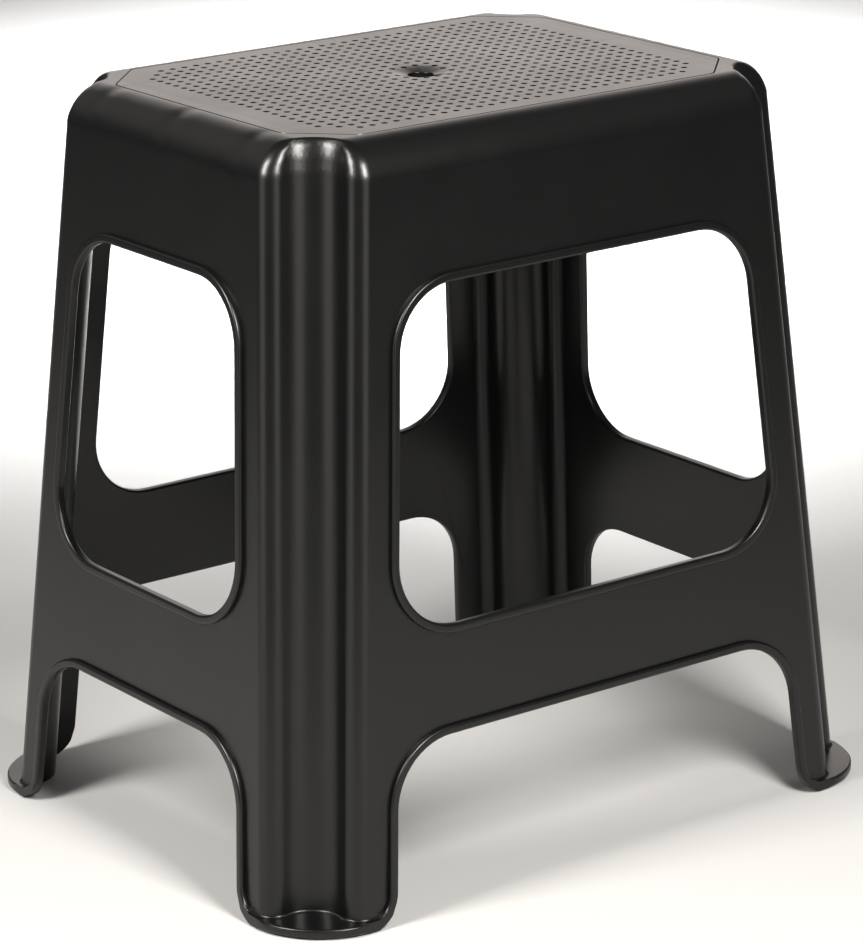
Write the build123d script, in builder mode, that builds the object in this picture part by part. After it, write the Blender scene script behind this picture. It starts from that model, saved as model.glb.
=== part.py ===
"""Moulded plastic stool: a fluted one-piece body, a snap-in seat panel and four foot pads.

Millimetres, +Z up, X along the long side, origin at the middle of the footprint on the floor.
"""

import os
from math import acos, cos, pi, radians, sin, sqrt

from build123d import *

# Overall form, measured on the outer wall planes
seat_height = 425.0
base_length = 417.0
base_width = 331.0
top_length = 350.0
top_width = 266.5
wall = 2.8

# Fluted corners: a bump, a hollow flute and a bump between each two walls
bump_radius = 10.0
flute_radius = 20.0
flute_inset = 13.8

# Rounding from the walls into the seat, where the bumps tighten and the flutes widen
rim_radius = 21.5
rim_bump_radius = 4.0
rim_flute_radius = 26.0
rim_angles = (0, 22.5, 45, 67.5, 90)
hollow_angles = (0, 30, 60, 90)

# Windows and arches, one of each in every wall, and the legs that they leave
leg_width = 61.0
window_bottom = 159.5
window_top = 346.5
window_radius = 37.0
long_arch_height = 98.5
short_arch_height = 94.5
arch_radius = 38.0
foot_radius = 20.0

# Raised lip along the windows, arches and feet
lip_width = 5.0
lip_height = 2.8
lip_tail = 16.0

# Toe plates at the floor
toe_reach = 4.0
toe_thickness = 5.5
toe_radius = 51.0
toe_chamfer = 1.2
toe_cove = 1.5

# Foot pads, pressed into pockets under the toe plates
pad_length = 34.0
pad_width = 13.0
pad_inset = 18.5
pad_recess = 2.5
pad_proud = 1.0
pad_gap = 0.15

# Seat panel, the land around it, its ledge in the body and its dished finger hole
rim_land = 1.0
panel_chamfer = 30.0
panel_corner = 8.0
panel_thickness = 3.0
panel_drop = 0.4
panel_gap = 0.3
panel_edge = 0.5
ledge_width = 7.0
ledge_thickness = 3.0
hole_diameter = 15.0
dish_diameter = 44.0
dish_depth = 2.5
boss_diameter = 50.0
boss_depth = 4.0

# Ribs under the panel, snap hooks that hold it and gussets under the ledge
rib_thickness = 2.2
rib_depth = 14.0
rib_spacing = 72.0
rib_end_gap = 1.5
hook_width = 16.0
hook_arm = 2.2
hook_catch = 1.2
hook_nose = 4.0
hook_gap = 0.3
hook_offset = 36.0
gusset_height = 34.0

# Overrun of every cutting solid past the face that it opens
overrun = 3.0

# Sizes that follow from those above
length_slope = (base_length - top_length) / 2 / seat_height
width_slope = (base_width - top_width) / 2 / seat_height
panel_length = top_length - 2 * (rim_radius + rim_land)
panel_width = top_width - 2 * (rim_radius + rim_land)
foot_level = pad_proud
toe_top = foot_level + toe_thickness
lip_end = foot_level + toe_thickness / 2
panel_top = seat_height - panel_drop
ledge_top = panel_top - panel_thickness
ceiling = ledge_top - ledge_thickness
cut_depth = toe_reach + overrun
corners = [(1, 1), (-1, 1), (-1, -1), (1, -1)]


def half_length(height):
    """Distance of the short walls from the middle at a height."""
    return base_length / 2 - length_slope * height


def half_width(height):
    """Distance of the long walls from the middle at a height."""
    return base_width / 2 - width_slope * height


def fluted_section(height, inset, bump, flute):
    """Horizontal section: four straight sides joined by bump, flute and bump at every corner."""
    side_x = half_length(height) - inset
    side_y = half_width(height) - inset
    flute_depth = flute_inset - inset
    reach = bump + flute
    turn = acos((bump - flute_depth) / reach) - pi / 4
    middle = (3 * pi / 4 + turn) / 2

    # Half of one corner, sideways from its diagonal and outward from its sharp corner
    flute_out = -flute_depth * sqrt(2)
    bump_side = reach * sin(turn)
    bump_out = flute_out - reach * cos(turn)
    half = [
        (bump_side + bump * cos(pi / 4), bump_out + bump * sin(pi / 4)),
        (bump_side + bump * cos(middle), bump_out + bump * sin(middle)),
        (bump_side - bump * sin(turn), bump_out + bump * cos(turn)),
    ]
    corner = half + [(0, flute_out - flute)] + [(-side, out) for side, out in reversed(half)]

    rounds = []
    for sign_x, sign_y in corners:
        hand = sign_x * sign_y
        rounds.append(
            [
                (
                    sign_x * (side_x + (out + hand * side) / sqrt(2)),
                    sign_y * (side_y + (out - hand * side) / sqrt(2)),
                )
                for side, out in corner
            ]
        )
    with BuildSketch(Plane.XY.offset(height)) as section:
        with BuildLine():
            for points, following in zip(rounds, rounds[1:] + rounds[:1]):
                for first in (0, 2, 4):
                    ThreePointArc(*points[first : first + 3])
                Line(points[-1], following[0])
        make_face()
    return section.sketch


def rim_sections(top, inset, angles):
    """Sections of the rounding that turns the walls, set in by inset, into the flat seat."""
    radius = rim_radius - inset
    sections = []
    for angle in angles:
        lean = 1 - cos(radians(angle))
        height = top - radius + radius * sin(radians(angle))
        bump = (bump_radius + (rim_bump_radius - bump_radius) * lean) * (1 - inset / bump_radius)
        flute = flute_radius + (rim_flute_radius - flute_radius) * lean + inset
        sections.append(fluted_section(height, inset + radius * lean, bump, flute))
    return sections


def wall_plane(facing, half_base, slope):
    """Plane of an outer wall: x along the wall, y up its slope, z outward."""
    out = Vector(cos(radians(facing)), sin(radians(facing)))
    return Plane(origin=out * half_base, x_dir=(-out.Y, out.X), z_dir=(out.X, out.Y, slope))


def upright_plane(facing, place):
    """Upright plane across one side: x outward, y up, set off by place along the side."""
    out = Vector(cos(radians(facing)), sin(radians(facing)))
    along = Vector(-out.Y, out.X)
    return Plane(origin=along * place, x_dir=out, z_dir=-along)


def window_face(plane, half_side, grow=0.0):
    """Window of one wall; its sides run along the legs."""
    low = half_side(window_bottom) - leg_width
    high = half_side(window_top) - leg_width
    with BuildSketch(plane) as face:
        with BuildLine():
            Polyline(
                (-low, window_bottom),
                (low, window_bottom),
                (high, window_top),
                (-high, window_top),
                close=True,
            )
        make_face()
        fillet(face.vertices(), window_radius)
        if grow:
            offset(amount=grow)
    return face.sketch


def arch_face(plane, half_side, arch_height, grow=0.0):
    """Arch between two legs, open to the floor, with the rounded inner corners of the feet."""
    foot = half_side(0) - leg_width
    shoulder = half_side(arch_height) - leg_width
    far = foot + foot_radius + overrun
    with BuildSketch(plane) as face:
        with BuildLine():
            Polyline(
                (-far, -toe_thickness),
                (-far, 0),
                (-foot, 0),
                (-shoulder, arch_height),
                (shoulder, arch_height),
                (foot, 0),
                (far, 0),
                (far, -toe_thickness),
                close=True,
            )
        make_face()
        fillet(face.vertices().group_by(Axis.Y)[-1], arch_radius)
        fillet(face.vertices().group_by(Axis.Y)[1].sort_by(lambda v: abs(v.X))[:2], foot_radius)
        if grow:
            offset(amount=grow)
    return face.sketch


def arch_lip_face(plane, half_side, arch_height):
    """Arch grown by its lip, which tails off round the feet and ends inside the toe plates."""
    tail_width = 2 * (half_side(0) - leg_width + lip_tail)
    with BuildSketch(plane) as face:
        add(arch_face(Plane.XY, half_side, arch_height, lip_width))
        with Locations((0, lip_end)):
            Rectangle(tail_width, seat_height, align=(Align.CENTER, Align.MIN), mode=Mode.INTERSECT)
    return face.sketch


def panel_face(height, grow=0.0):
    """Outline of the seat panel: a rectangle with cut, slightly rounded corners."""
    with BuildSketch(Plane.XY.offset(height)) as face:
        Rectangle(panel_length, panel_width)
        chamfer(face.vertices(), panel_chamfer)
        fillet(face.vertices(), panel_corner)
        if grow:
            offset(amount=grow)
    return face.sketch


def pad_face(height, sign_x, sign_y, grow=0.0):
    """Outline of a foot pad, lying across the diagonal of its corner."""
    with BuildSketch(Plane.XY.offset(height)) as face:
        with Locations((sign_x * (base_length / 2 - pad_inset), sign_y * (base_width / 2 - pad_inset))):
            SlotOverall(pad_length + 2 * grow, pad_width + 2 * grow, rotation=-45 * sign_x * sign_y)
    return face.sketch


# The four walls: plane, half length of the wall at a height and arch height
walls = []
for facing in (-90, 90):
    walls.append((wall_plane(facing, base_width / 2, width_slope), half_length, long_arch_height))
for facing in (0, 180):
    walls.append((wall_plane(facing, base_length / 2, length_slope), half_width, short_arch_height))

# The four sides of the seat: facing, half of the panel, half of the base and rib places
seat_sides = []
for facing in (0, 180):
    seat_sides.append((facing, panel_length / 2, base_length / 2, (-rib_spacing, 0, rib_spacing)))
for facing in (-90, 90):
    seat_sides.append((facing, panel_width / 2, base_width / 2, (0,)))

# Hollow of the body, less the gussets that stay standing under the ledge
with BuildPart() as hollow:
    shoulder = ceiling - (rim_radius - wall)
    loft(
        [
            fluted_section(height, wall, bump_radius - wall, flute_radius + wall)
            for height in (foot_level - overrun, shoulder)
        ],
        ruled=True,
    )
    loft(rim_sections(ceiling, wall, hollow_angles), ruled=True)
    for facing, half_panel, half_base, places in seat_sides:
        for place in places:
            with BuildSketch(upright_plane(facing, place)):
                with BuildLine():
                    Polyline(
                        (half_panel - ledge_width, ceiling + overrun),
                        (half_base, ceiling + overrun),
                        (half_base, ceiling - gusset_height),
                        (half_panel - ledge_width, ceiling),
                        close=True,
                    )
                make_face()
            extrude(amount=rib_thickness / 2, both=True, mode=Mode.SUBTRACT)

# Slab with broken edges around the foot of the walls, which the arches part into toe plates
with BuildPart() as toe_slab:
    with BuildSketch(Plane.XY.offset(foot_level)) as toe_outline:
        Rectangle(base_length + 2 * toe_reach, base_width + 2 * toe_reach)
        fillet(toe_outline.vertices(), toe_radius)
    extrude(amount=toe_thickness)
    chamfer(toe_slab.edges().filter_by(Axis.Z, reverse=True), toe_chamfer)

# Body: a fluted block on its toe slab, with lipped windows and arches, hollow, ledge and pockets
with BuildPart() as body_shell:
    shoulder = seat_height - rim_radius
    loft(
        [fluted_section(height, 0, bump_radius, flute_radius) for height in (foot_level, shoulder)],
        ruled=True,
    )
    loft(rim_sections(seat_height, 0, rim_angles), ruled=True)
    add(toe_slab.part)
    loft(
        [
            fluted_section(toe_top + toe_cove - grow, -grow, bump_radius + grow, flute_radius - grow)
            for grow in (2 * toe_cove, 0)
        ],
        ruled=True,
    )
    for plane, half_side, arch_height in walls:
        root = plane.offset(-wall / 2)
        extrude(window_face(root, half_side, lip_width), lip_height + wall / 2)
        extrude(arch_lip_face(root, half_side, arch_height), lip_height + wall / 2)
    for plane, half_side, arch_height in walls:
        extrude(window_face(plane, half_side), cut_depth, both=True, mode=Mode.SUBTRACT)
        extrude(arch_face(plane, half_side, arch_height), cut_depth, both=True, mode=Mode.SUBTRACT)
    add(hollow.part, mode=Mode.SUBTRACT)
    extrude(panel_face(ledge_top, panel_gap), panel_thickness + overrun, mode=Mode.SUBTRACT)
    extrude(
        panel_face(ceiling - overrun, -ledge_width), ledge_thickness + 2 * overrun, mode=Mode.SUBTRACT
    )
    for sign_x, sign_y in corners:
        pocket = pad_face(foot_level - overrun, sign_x, sign_y, pad_gap)
        extrude(pocket, overrun + pad_recess, mode=Mode.SUBTRACT)

# Seat panel: a plate with ribs and snap hooks underneath and a dished finger hole
with BuildPart() as seat_panel:
    extrude(panel_face(ledge_top), panel_thickness)
    chamfer(seat_panel.faces().sort_by(Axis.Z)[-1].edges(), panel_edge)
    with BuildSketch(Plane.XY.offset(ledge_top)):
        with Locations((0, -rib_spacing), (0, 0), (0, rib_spacing)):
            Rectangle(panel_length, rib_thickness)
        Rectangle(rib_thickness, panel_width)
        add(panel_face(0, -ledge_width - rib_end_gap), mode=Mode.INTERSECT)
    extrude(amount=-rib_depth)
    with Locations((0, 0, ledge_top)):
        Cylinder(boss_diameter / 2, boss_depth, align=(Align.CENTER, Align.CENTER, Align.MAX))
    catch_level = ceiling - hook_gap
    for facing, half_panel, _, _ in seat_sides:
        arm = half_panel - ledge_width - hook_gap
        for place in (-hook_offset, hook_offset):
            with BuildSketch(upright_plane(facing, place)):
                with BuildLine():
                    Polyline(
                        (arm - hook_arm, ledge_top),
                        (arm, ledge_top),
                        (arm, catch_level),
                        (arm + hook_gap + hook_catch, catch_level),
                        (arm, catch_level - hook_nose),
                        (arm - hook_arm, catch_level - hook_nose),
                        close=True,
                    )
                make_face()
            extrude(amount=hook_width / 2, both=True)
    dish_radius = (dish_diameter**2 / 4 + dish_depth**2) / (2 * dish_depth)
    with Locations((0, 0, panel_top - dish_depth + dish_radius)):
        Sphere(dish_radius, mode=Mode.SUBTRACT)
    with Locations((0, 0, panel_top)):
        Cylinder(hole_diameter / 2, 4 * rib_depth, mode=Mode.SUBTRACT)

os.makedirs("parts", exist_ok=True)
body_shell.part.label = "body_shell"
export_step(body_shell.part, "parts/body_shell.step")
seat_panel.part.label = "seat_panel"
export_step(seat_panel.part, "parts/seat_panel.step")

# Foot pads: flat slots seated against the roofs of their pockets
for sign_x, sign_y in corners:
    name = f"foot_pad_{'back' if sign_y > 0 else 'front'}_{'right' if sign_x > 0 else 'left'}"
    with BuildPart() as foot_pad:
        extrude(pad_face(0, sign_x, sign_y), foot_level + pad_recess)
    foot_pad.part.label = name
    export_step(foot_pad.part, f"parts/{name}.step")
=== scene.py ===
"""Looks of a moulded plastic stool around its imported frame. Metres, +Z up."""

from math import asin, cos, degrees, pi, radians, sin, sqrt

import bmesh
import bpy
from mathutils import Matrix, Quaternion, Vector


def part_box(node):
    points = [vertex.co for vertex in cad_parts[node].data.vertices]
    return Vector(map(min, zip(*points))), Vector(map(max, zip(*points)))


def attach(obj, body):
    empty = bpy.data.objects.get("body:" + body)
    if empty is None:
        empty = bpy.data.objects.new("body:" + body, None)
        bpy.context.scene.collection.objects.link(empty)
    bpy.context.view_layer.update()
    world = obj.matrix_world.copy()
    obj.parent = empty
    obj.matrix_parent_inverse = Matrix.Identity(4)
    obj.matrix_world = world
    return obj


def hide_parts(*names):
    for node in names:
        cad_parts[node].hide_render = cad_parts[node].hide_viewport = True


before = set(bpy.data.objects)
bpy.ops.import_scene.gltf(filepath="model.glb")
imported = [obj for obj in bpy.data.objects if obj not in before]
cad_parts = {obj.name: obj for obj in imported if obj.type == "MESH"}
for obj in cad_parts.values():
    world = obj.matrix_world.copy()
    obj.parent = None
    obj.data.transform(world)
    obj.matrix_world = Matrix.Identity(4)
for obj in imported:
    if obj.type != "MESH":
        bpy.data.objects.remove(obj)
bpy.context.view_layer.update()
millimetre = 0.001

# Tolerances for points that are one, points in one plane, and cuts
weld_distance = 1e-6
plane_tolerance = 1e-5
cut_tolerance = 1e-7

# Camera, fitted to the photograph: angles in degrees, focal length in pixels of its 863 x 945 frame
image_height = 945
camera_azimuth = -36.793
camera_elevation = 17.429
camera_roll = -0.719
camera_distance = 2.300
camera_target = Vector((0.00266, -0.00199, 0.18755))
camera_focal_pixels = 3949.07
camera_sensor = 36.0

# Edges sharper than crease_angle stay creased, and those flatter than flat_angle are dissolved
crease_angle = radians(50)
flat_angle = radians(0.05)

# Windows, arches and the lips around them: rounding of their edges, the heights between which these
# lie, their turns in degrees, and how squarely the walls beside them face along X or Y
lip_round = 1.4 * millimetre
lip_segments = 3
lip_low, lip_high = 8 * millimetre, 360 * millimetre
lip_turn_low, lip_turn_high = 60, 120
wall_facing = 0.99

# Toe plates: below toe_high and within toe_ends of the middle, along X and Y, they are drawn in to
# the lips, which stand lip_height proud of walls that lean in by wall_draft from base_half
toe_high = 8 * millimetre
toe_ends = (172 * millimetre, 132 * millimetre)
base_half = (208.5 * millimetre, 165.5 * millimetre)
lip_height = 2.8 * millimetre
wall_draft = 0.077

# Rim of the seat, which the frame holds as flat bands between these angles in degrees; its outer
# faces look down no further than rim_underside and away from the middle by rim_outward
rim_radius = 21.5 * millimetre
rim_angles = (0, 22.5, 45, 67.5, 90)
rim_steps = 16
rim_underside = -0.01
rim_outward = 1e-4

# Seat panel, flush with the rim, and the groove between them
panel_rise = 0.4 * millimetre
panel_facing = 0.999
groove_round = 0.4 * millimetre
groove_segments = 2
groove_turn = 60

# Anti-slip pits: grid pitch, counts either side of the middle, cut corners, bare cells in the
# middle, and the profile from edge to floor as radius and depth in millimetres
pit_pitch = 8.0 * millimetre
pit_columns = 16
pit_rows = 12
pit_corner_sum = 26
pit_bare_middle = 1
pit_sides = 12
pit_profile = ((1.96, 0.0), (1.91, 0.03), (1.85, 0.15), (1.80, 2.2))
middle_reach = (pit_bare_middle + 0.6) * pit_pitch

# Dish and finger hole in the middle of the seat; the plain dish of the frame is replaced
dish_radius = 22.0 * millimetre
dish_depth = 2.0 * millimetre
dish_power = 2.4
plain_dish_depth = 2.5 * millimetre
plain_dish_facing = 0.9
hole_radius = 7.5 * millimetre
hole_round = 0.3 * millimetre
hole_turns = (30, 60, 90)

# Noise of the materials, as patches per metre and detail, and the range that holds most of it
plastic_flecks, plastic_gloss = (14, 4), (22, 5)
plastic_waves, plastic_grain = (14, 2), (1500, 2)
rubber_flecks, rubber_grain = (260, 4), (1800, 3)
floor_flecks = (3, 3)
noise_low, noise_high = 0.3, 0.7

# Satin black plastic of body and panel
plastic_dark, plastic_light = (0.0020, 0.0020, 0.0021), (0.0026, 0.0026, 0.0027)
plastic_smooth, plastic_rough = 0.278, 0.318
plastic_ior = 1.43
wave_height = 0.4 * millimetre
grain_height = 0.004 * millimetre

# Sink marks over the ribs and gussets below the seat: the higher the power, the narrower the mark.
# Those of the gussets fade in towards the ends of the seat and up the rim
rib_spacing = 72 * millimetre
gusset_mark_depth, gusset_mark_power = 0.4 * millimetre, 12
gusset_mark_beside = (150 * millimetre, 158 * millimetre)
gusset_mark_above = (400 * millimetre, 414 * millimetre)
rib_mark_depth, rib_mark_power = 0.05 * millimetre, 60

# Rubber of the foot pads
rubber_dark, rubber_light = (0.012, 0.012, 0.012), (0.03, 0.03, 0.03)
rubber_roughness = 0.8
rubber_height = 0.04 * millimetre

# Studio floor
floor_half = 9.0
floor_dark, floor_light = (0.44, 0.44, 0.44), (0.46, 0.46, 0.46)
floor_roughness = 0.9
floor_specular = 0.1

# Studio lights, each facing a point above the origin: name, height of that point, azimuth,
# elevation, distance, width, height, radiance and tint
white, warm, neutral = (1.0, 0.97, 0.92), (1.0, 0.925, 0.87), (1.0, 1.0, 1.0)
studio_lights = (
    ("softbox_left", 0.25, -88, 38, 1.5, 0.40, 0.60, 44.0, white),
    ("strip_left", 0.45, -88, 0, 1.6, 0.75, 0.90, 1.5, white),
    ("softbox_right", 0.25, -8, 38, 1.5, 0.40, 0.60, 53.0, white),
    ("strip_right", 0.45, -8, 0, 1.6, 0.75, 0.90, 1.5, white),
    ("backdrop_low", 0.42, 143, 10, 2.6, 2.60, 0.78, 1.60, warm),
    ("backdrop_high", 0.42, 143, 26, 2.6, 2.60, 0.66, 0.85, warm),
    ("fill_left", 0.42, -155, 32, 2.2, 1.60, 1.20, 0.33, warm),
    ("fill_right", 0.42, 70, 46, 2.2, 1.60, 1.20, 0.12, warm),
)

# Square lamps straight above the floor behind the stool: name, distance, height, side and radiance
floor_lamps = (
    ("floor_lamp_near", 1.05, 1.3, 0.5, 11.0),
    ("floor_lamp_far", 1.90, 1.6, 0.8, 9.0),
)
floor_lamp_azimuth = 143
floor_lamp_spread = 58
world_colour = (0.09, 0.09, 0.09)


def direction(azimuth, elevation):
    """Unit vector away from the stool; azimuth 0 is towards -Y and elevation is above the floor."""
    turn, rise = radians(azimuth), radians(elevation)
    return Vector((sin(turn) * cos(rise), -cos(turn) * cos(rise), sin(rise)))


def add_object(name, data):
    """New object in the scene."""
    thing = bpy.data.objects.new(name, data)
    bpy.context.scene.collection.objects.link(thing)
    return thing


def add_camera():
    """Camera at the photograph's viewing angle."""
    back = direction(camera_azimuth, camera_elevation)
    data = bpy.data.cameras.new("camera")
    data.sensor_width = camera_sensor
    data.lens = camera_focal_pixels * camera_sensor / image_height
    camera = add_object("camera", data)
    camera.location = camera_target + back * camera_distance
    camera.rotation_mode = "QUATERNION"
    roll = Quaternion((0, 0, 1), radians(camera_roll))
    camera.rotation_quaternion = (-back).to_track_quat("-Z", "Y") @ roll
    bpy.context.scene.camera = camera


def add_softbox(name, place, aim, width, height, radiance, tint, spread=180):
    """Rectangular area light that faces a point, with the brightness of its face given."""
    data = bpy.data.lights.new(name, "AREA")
    data.shape = "RECTANGLE"
    data.size, data.size_y = width, height
    data.energy = radiance * pi * width * height
    data.spread = radians(spread)
    data.color = tint
    lamp = add_object(name, data)
    lamp.location = place
    lamp.rotation_mode = "QUATERNION"
    lamp.rotation_quaternion = (aim - place).to_track_quat("-Z", "Y")


def add_lights():
    """Lights of the studio and its dim surroundings."""
    for name, level, azimuth, elevation, distance, width, height, radiance, tint in studio_lights:
        aim = Vector((0, 0, level))
        place = aim + direction(azimuth, elevation) * distance
        add_softbox(name, place, aim, width, height, radiance, tint)
    for name, distance, height, side, radiance in floor_lamps:
        aim = direction(floor_lamp_azimuth, 0) * distance
        place = aim + Vector((0, 0, height))
        add_softbox(name, place, aim, side, side, radiance, neutral, floor_lamp_spread)
    world = bpy.data.worlds.new("studio")
    world.use_nodes = True
    world.node_tree.nodes["Background"].inputs["Color"].default_value = (*world_colour, 1)
    bpy.context.scene.world = world


def new_material(name):
    """Material with its node tree, its shader and the coordinates of its surface."""
    material = bpy.data.materials.new(name)
    material.use_nodes = True
    tree = material.node_tree
    place = tree.nodes.new("ShaderNodeTexCoord").outputs["Object"]
    return material, tree, tree.nodes["Principled BSDF"], place


def add_noise(tree, vector, patches, detail):
    """Noise in real size, with a number of patches per metre."""
    noise = tree.nodes.new("ShaderNodeTexNoise")
    noise.inputs["Scale"].default_value = patches
    noise.inputs["Detail"].default_value = detail
    tree.links.new(vector, noise.inputs["Vector"])
    return noise.outputs["Fac"]


def add_shade(tree, value, dark, light):
    """Colour from dark to light."""
    shade = tree.nodes.new("ShaderNodeMix")
    shade.data_type = "RGBA"
    shade.inputs["A"].default_value = (*dark, 1)
    shade.inputs["B"].default_value = (*light, 1)
    tree.links.new(value, shade.inputs["Factor"])
    return shade.outputs["Result"]


def add_range(tree, value, low, high):
    """Noise spread from low to high."""
    spread = tree.nodes.new("ShaderNodeMapRange")
    spread.inputs["From Min"].default_value = noise_low
    spread.inputs["From Max"].default_value = noise_high
    spread.inputs["To Min"].default_value = low
    spread.inputs["To Max"].default_value = high
    tree.links.new(value, spread.inputs["Value"])
    return spread.outputs["Result"]


def add_fade(tree, value, low, high):
    """Zero below low, one above high and smooth between."""
    fade = tree.nodes.new("ShaderNodeMapRange")
    fade.interpolation_type = "SMOOTHSTEP"
    fade.inputs["From Min"].default_value = low
    fade.inputs["From Max"].default_value = high
    tree.links.new(value, fade.inputs["Value"])
    return fade.outputs["Result"]


def add_math(tree, operation, *values):
    """Result of an operation on up to three values, each a socket or a number."""
    node = tree.nodes.new("ShaderNodeMath")
    node.operation = operation
    for socket, value in zip(node.inputs, values):
        if isinstance(value, (int, float)):
            socket.default_value = value
        else:
            tree.links.new(value, socket)
    return node.outputs["Value"]


def add_bump(tree, height, distance, normal=None):
    """Bump of a real height, laid over another normal."""
    bump = tree.nodes.new("ShaderNodeBump")
    bump.inputs["Strength"].default_value = 1.0
    bump.inputs["Distance"].default_value = distance
    tree.links.new(height, bump.inputs["Height"])
    if normal:
        tree.links.new(normal, bump.inputs["Normal"])
    return bump.outputs["Normal"]


def add_marks(tree, along, power):
    """Narrow marks along an axis: one on a rib and zero between ribs."""
    turn = add_math(tree, "MULTIPLY", along, 2 * pi / rib_spacing)
    share = add_math(tree, "MULTIPLY_ADD", add_math(tree, "COSINE", turn), 0.5, 0.5)
    return add_math(tree, "POWER", share, power)


def gusset_marks(tree, axes):
    """Sink marks over the gussets of the short rims."""
    marks = add_marks(tree, axes["Y"], gusset_mark_power)
    beside = add_fade(tree, add_math(tree, "ABSOLUTE", axes["X"]), *gusset_mark_beside)
    above = add_fade(tree, axes["Z"], *gusset_mark_above)
    return add_math(tree, "MULTIPLY", marks, add_math(tree, "MULTIPLY", beside, above))


def rib_marks(tree, axes):
    """Sink marks over the crossing ribs of the seat."""
    along = add_marks(tree, axes["X"], rib_mark_power)
    across = add_marks(tree, axes["Y"], rib_mark_power)
    return add_math(tree, "MAXIMUM", along, across)


def satin_plastic(name, marks, mark_depth):
    """Black moulded plastic: tool grain, slow waves of shrinkage, uneven gloss and sink marks."""
    material, tree, shader, place = new_material(name)
    flecks = add_noise(tree, place, *plastic_flecks)
    gloss = add_noise(tree, place, *plastic_gloss)
    waves = add_bump(tree, add_noise(tree, place, *plastic_waves), wave_height)
    grain = add_bump(tree, add_noise(tree, place, *plastic_grain), grain_height, waves)
    axes = tree.nodes.new("ShaderNodeSeparateXYZ")
    tree.links.new(place, axes.inputs["Vector"])
    lowered = add_math(tree, "MULTIPLY", marks(tree, axes.outputs), -1.0)
    for value, socket in (
        (add_shade(tree, flecks, plastic_dark, plastic_light), "Base Color"),
        (add_range(tree, gloss, plastic_smooth, plastic_rough), "Roughness"),
        (add_bump(tree, lowered, mark_depth, grain), "Normal"),
    ):
        tree.links.new(value, shader.inputs[socket])
    shader.inputs["IOR"].default_value = plastic_ior
    return material


def matt_rubber():
    """Black rubber of the foot pads."""
    material, tree, shader, place = new_material("pad_rubber")
    flecks = add_noise(tree, place, *rubber_flecks)
    grain = add_noise(tree, place, *rubber_grain)
    tree.links.new(add_shade(tree, flecks, rubber_dark, rubber_light), shader.inputs["Base Color"])
    tree.links.new(add_bump(tree, grain, rubber_height), shader.inputs["Normal"])
    shader.inputs["Roughness"].default_value = rubber_roughness
    return material


def pale_floor():
    """Pale studio floor."""
    material, tree, shader, place = new_material("floor_paper")
    flecks = add_noise(tree, place, *floor_flecks)
    tree.links.new(add_shade(tree, flecks, floor_dark, floor_light), shader.inputs["Base Color"])
    shader.inputs["Roughness"].default_value = floor_roughness
    shader.inputs["Specular IOR Level"].default_value = floor_specular
    return material


def add_floor():
    """Square floor, wide enough to fill the view."""
    signs = ((-1, -1), (1, -1), (1, 1), (-1, 1))
    corners = [(x * floor_half, y * floor_half, 0.0) for x, y in signs]
    mesh = bpy.data.meshes.new("floor")
    mesh.from_pydata(corners, [], [(0, 1, 2, 3)])
    mesh.materials.append(pale_floor())
    return add_object("floor", mesh)


def cad_copy(node):
    """Editable copy of a CAD node's mesh, with its seams welded."""
    mesh = bmesh.new()
    mesh.from_mesh(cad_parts[node].data)
    bmesh.ops.remove_doubles(mesh, verts=mesh.verts, dist=weld_distance)
    return mesh


def finish_mesh(mesh, name, material):
    """Object from an edited mesh: smooth faces, creased edges, normals set by the large faces."""
    bmesh.ops.recalc_face_normals(mesh, faces=mesh.faces)
    for face in mesh.faces:
        face.smooth = True
    for edge in mesh.edges:
        edge.smooth = len(edge.link_faces) == 2 and edge.calc_face_angle() < crease_angle
    data = bpy.data.meshes.new(name)
    mesh.to_mesh(data)
    mesh.free()
    data.materials.append(material)
    piece = add_object(name, data)
    weighted = piece.modifiers.new("weighted_normals", "WEIGHTED_NORMAL")
    weighted.keep_sharp = True
    return piece


def verts_of(items):
    """Vertices of edges or faces, each once and in order."""
    return list(dict.fromkeys(vert for item in items for vert in item.verts))


def round_edges(mesh, edges, radius, segments):
    """Rounds edges of a mesh."""
    bmesh.ops.bevel(
        mesh, geom=edges, offset=radius, segments=segments, profile=0.5, affect="EDGES"
    )


def open_edges(mesh):
    """Edges that bound a hole of the mesh."""
    return [edge for edge in mesh.edges if len(edge.link_faces) == 1]


def in_middle(edge):
    """Whether an edge lies in the bare middle of the seat, where the finger hole is."""
    return all(max(abs(vert.co.x), abs(vert.co.y)) < middle_reach for vert in edge.verts)


def dish_drop(x, y):
    """Depth of the shallow round dish below the flat of the seat, steepest at the hole."""
    inward = (dish_radius - sqrt(x * x + y * y)) / (dish_radius - hole_radius)
    return dish_depth * max(inward, 0.0) ** dish_power


def has_pit(column, row):
    """Whether a cell of the grid holds a pit."""
    bare = abs(column) <= pit_bare_middle and abs(row) <= pit_bare_middle
    return not bare and abs(column) + abs(row) <= pit_corner_sum


def add_pit(mesh, middle_x, middle_y, top):
    """One square cell of the seat with a round pit in its middle."""
    angles = [pi / 4 + 2 * pi * side / pit_sides for side in range(pit_sides)]
    cell = []
    for angle in angles:
        reach = pit_pitch / 2 / max(abs(cos(angle)), abs(sin(angle)))
        cell.append((reach * cos(angle), reach * sin(angle), 0.0))
    rings = [cell]
    for radius, depth in pit_profile:
        radius, depth = radius * millimetre, depth * millimetre
        rings.append([(radius * cos(angle), radius * sin(angle), depth) for angle in angles])
    made = []
    for ring in rings:
        verts = []
        for offset_x, offset_y, depth in ring:
            x, y = middle_x + offset_x, middle_y + offset_y
            verts.append(mesh.verts.new((x, y, top - depth - dish_drop(x, y))))
        made.append(verts)
    for outer, inner in zip(made, made[1:]):
        for side in range(pit_sides):
            following = (side + 1) % pit_sides
            mesh.faces.new((outer[side], outer[following], inner[following], inner[side]))
    mesh.faces.new(made[-1])


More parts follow.
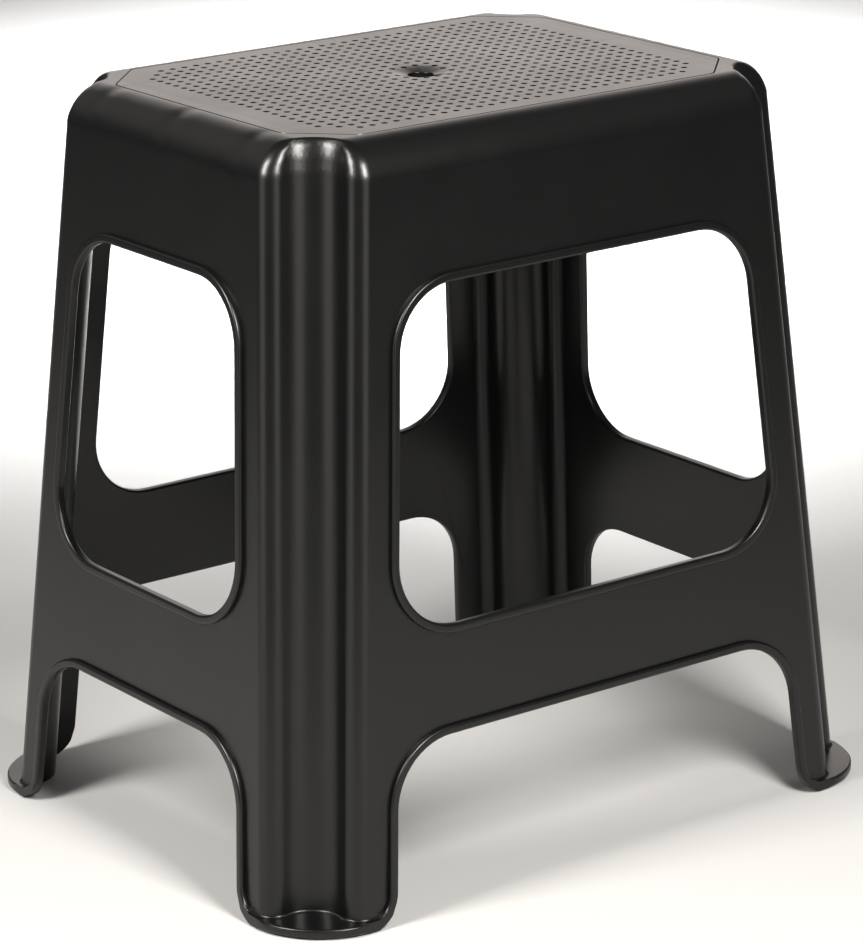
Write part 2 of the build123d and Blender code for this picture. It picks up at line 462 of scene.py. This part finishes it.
def add_hole_round(mesh, edges, top):
    """Rounded edge from the hole's wall out to the dish, and the edges of its outermost ring."""
    for vert in verts_of(edges):
        vert.co.z = top - dish_drop(vert.co.x, vert.co.y) - hole_round
    for turn in hole_turns:
        radius = hole_radius + hole_round * (1 - cos(radians(turn)))
        sunk = hole_round * (1 - sin(radians(turn)))
        made = {}
        for vert in verts_of(edges):
            spot = vert.co.xy.normalized() * radius
            height = top - dish_drop(spot.x, spot.y) - sunk
            made[vert] = mesh.verts.new((spot.x, spot.y, height))
        outer = []
        for edge in edges:
            first, second = edge.verts
            face = mesh.faces.new((first, second, made[second], made[first]))
            outer.append(face.edges[2])
        edges = outer
    return edges


def seat_panel(material):
    """Seat panel: the CAD panel with its plain top replaced by a dished skin with real pits."""
    mesh = cad_copy("seat_panel")
    cad_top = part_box("seat_panel")[1].z
    top = cad_top + panel_rise
    skin = []
    for face in mesh.faces:
        middle = face.calc_center_median()
        flat = face.normal.z > panel_facing and middle.z > cad_top - plane_tolerance
        dish = face.normal.z > plain_dish_facing and middle.z > cad_top - plain_dish_depth
        if flat or (dish and middle.xy.length < dish_radius):
            skin.append(face)
    bmesh.ops.delete(mesh, geom=skin, context="FACES")
    for vert in mesh.verts:
        if vert.co.z > cad_top - plane_tolerance:
            vert.co.z = top
    hole = [edge for edge in open_edges(mesh) if in_middle(edge)]
    outline = [edge for edge in open_edges(mesh) if not in_middle(edge)]
    ring = add_hole_round(mesh, hole, top)

    # Pits of the grid, welded into one sheet
    before = set(mesh.verts)
    for column in range(-pit_columns, pit_columns + 1):
        for row in range(-pit_rows, pit_rows + 1):
            if has_pit(column, row):
                add_pit(mesh, column * pit_pitch, row * pit_pitch, top)
    added = [vert for vert in mesh.verts if vert not in before]
    bmesh.ops.remove_doubles(mesh, verts=added, dist=weld_distance)

    # The dish between hole and pits, and the plain margin between pits and outline
    sheet = [edge for edge in open_edges(mesh) if not before.issuperset(edge.verts)]
    inner = [edge for edge in sheet if in_middle(edge)]
    outer = [edge for edge in sheet if not in_middle(edge)]
    for edges in (ring + inner, outline + outer):
        bmesh.ops.triangle_fill(mesh, edges=edges, use_beauty=True, normal=(0, 0, 1))
    return finish_mesh(mesh, "seat_skin", material)


def trim_toes(mesh):
    """Lets the ends of the toe plates run into the lips of the arches."""
    for vert in mesh.verts:
        if vert.co.z < toe_high:
            for axis, other in ((1, 0), (0, 1)):
                limit = base_half[axis] + lip_height - wall_draft * vert.co.z
                if abs(vert.co[axis]) > limit and abs(vert.co[other]) < toe_ends[other]:
                    vert.co[axis] = limit if vert.co[axis] > 0 else -limit


def on_wall(face):
    """Whether a face of the body is on an upright wall, outside or inside, or the face of a lip."""
    return max(abs(face.normal.x), abs(face.normal.y)) > wall_facing


def round_lips(mesh):
    """Rounds the edges of the windows and arches, and of the raised lips around them."""
    edges = []
    for edge in mesh.edges:
        low, high = sorted(vert.co.z for vert in edge.verts)
        if len(edge.link_faces) == 2 and lip_low < low and high < lip_high:
            turn = degrees(edge.calc_face_angle_signed())
            if lip_turn_low < turn < lip_turn_high and any(map(on_wall, edge.link_faces)):
                edges.append(edge)
    round_edges(mesh, edges, lip_round, lip_segments)


def round_groove(mesh):
    """Rounds the inner edge of the rim, along the seat panel."""
    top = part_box("body_shell")[1].z
    edges = []
    for edge in mesh.edges:
        on_top = all(vert.co.z > top - plane_tolerance for vert in edge.verts)
        if on_top and len(edge.link_faces) == 2:
            if degrees(edge.calc_face_angle_signed()) > groove_turn:
                edges.append(edge)
    round_edges(mesh, edges, groove_round, groove_segments)


def on_rim(face, shoulder):
    """Whether a face of the body lies on the outer side of the rim, above its shoulder."""
    above = all(vert.co.z > shoulder - weld_distance for vert in face.verts)
    outward = face.normal.xy.dot(face.calc_center_median().xy)
    return above and face.normal.z > rim_underside and outward > rim_outward


def rim_gap(height, top, slope):
    """Distance at a height from a flat band of the rim, which leans in by slope, to its round."""
    share = (height - top + rim_radius) / rim_radius
    true_lean = 1 - cos(asin(min(share, 1.0)))
    for low, high in zip(rim_angles, rim_angles[1:]):
        start, end = sin(radians(low)), sin(radians(high))
        if share <= end:
            break
    start_lean, end_lean = 1 - cos(radians(low)), 1 - cos(radians(high))
    wall_slope = (end_lean - start_lean) / (end - start)
    flat_lean = start_lean + wall_slope * (share - start)
    return rim_radius * (flat_lean - true_lean) * slope / wall_slope


def round_rim(mesh):
    """Turns the flat bands of the seat's rim into a round, on the walls and in the flutes."""
    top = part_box("body_shell")[1].z
    shoulder = top - rim_radius
    outer = [face for face in mesh.faces if on_rim(face, shoulder)]
    for step in range(1, rim_steps):
        level = shoulder + rim_radius * sin(pi / 2 * step / rim_steps)
        edges = dict.fromkeys(edge for face in outer for edge in face.edges)
        cut = bmesh.ops.bisect_plane(
            mesh,
            geom=[*verts_of(outer), *edges, *outer],
            dist=cut_tolerance,
            plane_co=(0, 0, level),
            plane_no=(0, 0, 1),
        )
        outer = [item for item in cut["geom"] if isinstance(item, bmesh.types.BMFace)]
    mesh.normal_update()
    moves = {}
    for vert in verts_of(outer):
        if shoulder + weld_distance < vert.co.z < top - weld_distance:
            outward = vert.normal.xy
            slope = vert.normal.z / outward.length
            moves[vert] = outward.normalized() * rim_gap(vert.co.z, top, slope)
    for vert, move in moves.items():
        vert.co.xy += move


def stool_body(material):
    """Body: the CAD body with trimmed toes, rounded lips, a rounded groove and a round rim."""
    mesh = cad_copy("body_shell")
    bmesh.ops.dissolve_limit(
        mesh,
        angle_limit=flat_angle,
        verts=mesh.verts,
        edges=mesh.edges,
        use_dissolve_boundaries=False,
    )
    trim_toes(mesh)
    round_lips(mesh)
    round_groove(mesh)
    round_rim(mesh)
    return finish_mesh(mesh, "stool_body", material)


add_camera()
shell_plastic = satin_plastic("shell_plastic", gusset_marks, gusset_mark_depth)
panel_plastic = satin_plastic("panel_plastic", rib_marks, rib_mark_depth)
pad_rubber = matt_rubber()

for piece, node, slot in (
    (stool_body(shell_plastic), "body_shell", "shell_plastic"),
    (seat_panel(panel_plastic), "seat_panel", "panel_plastic"),
):
    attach(piece, "root")
    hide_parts(node)

for node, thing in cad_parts.items():
    if node.startswith("foot_pad"):
        thing.data.materials.clear()
        thing.data.materials.append(pad_rubber)

floor = add_floor()
add_lights()
bpy.context.scene.view_settings.view_transform = "Standard"
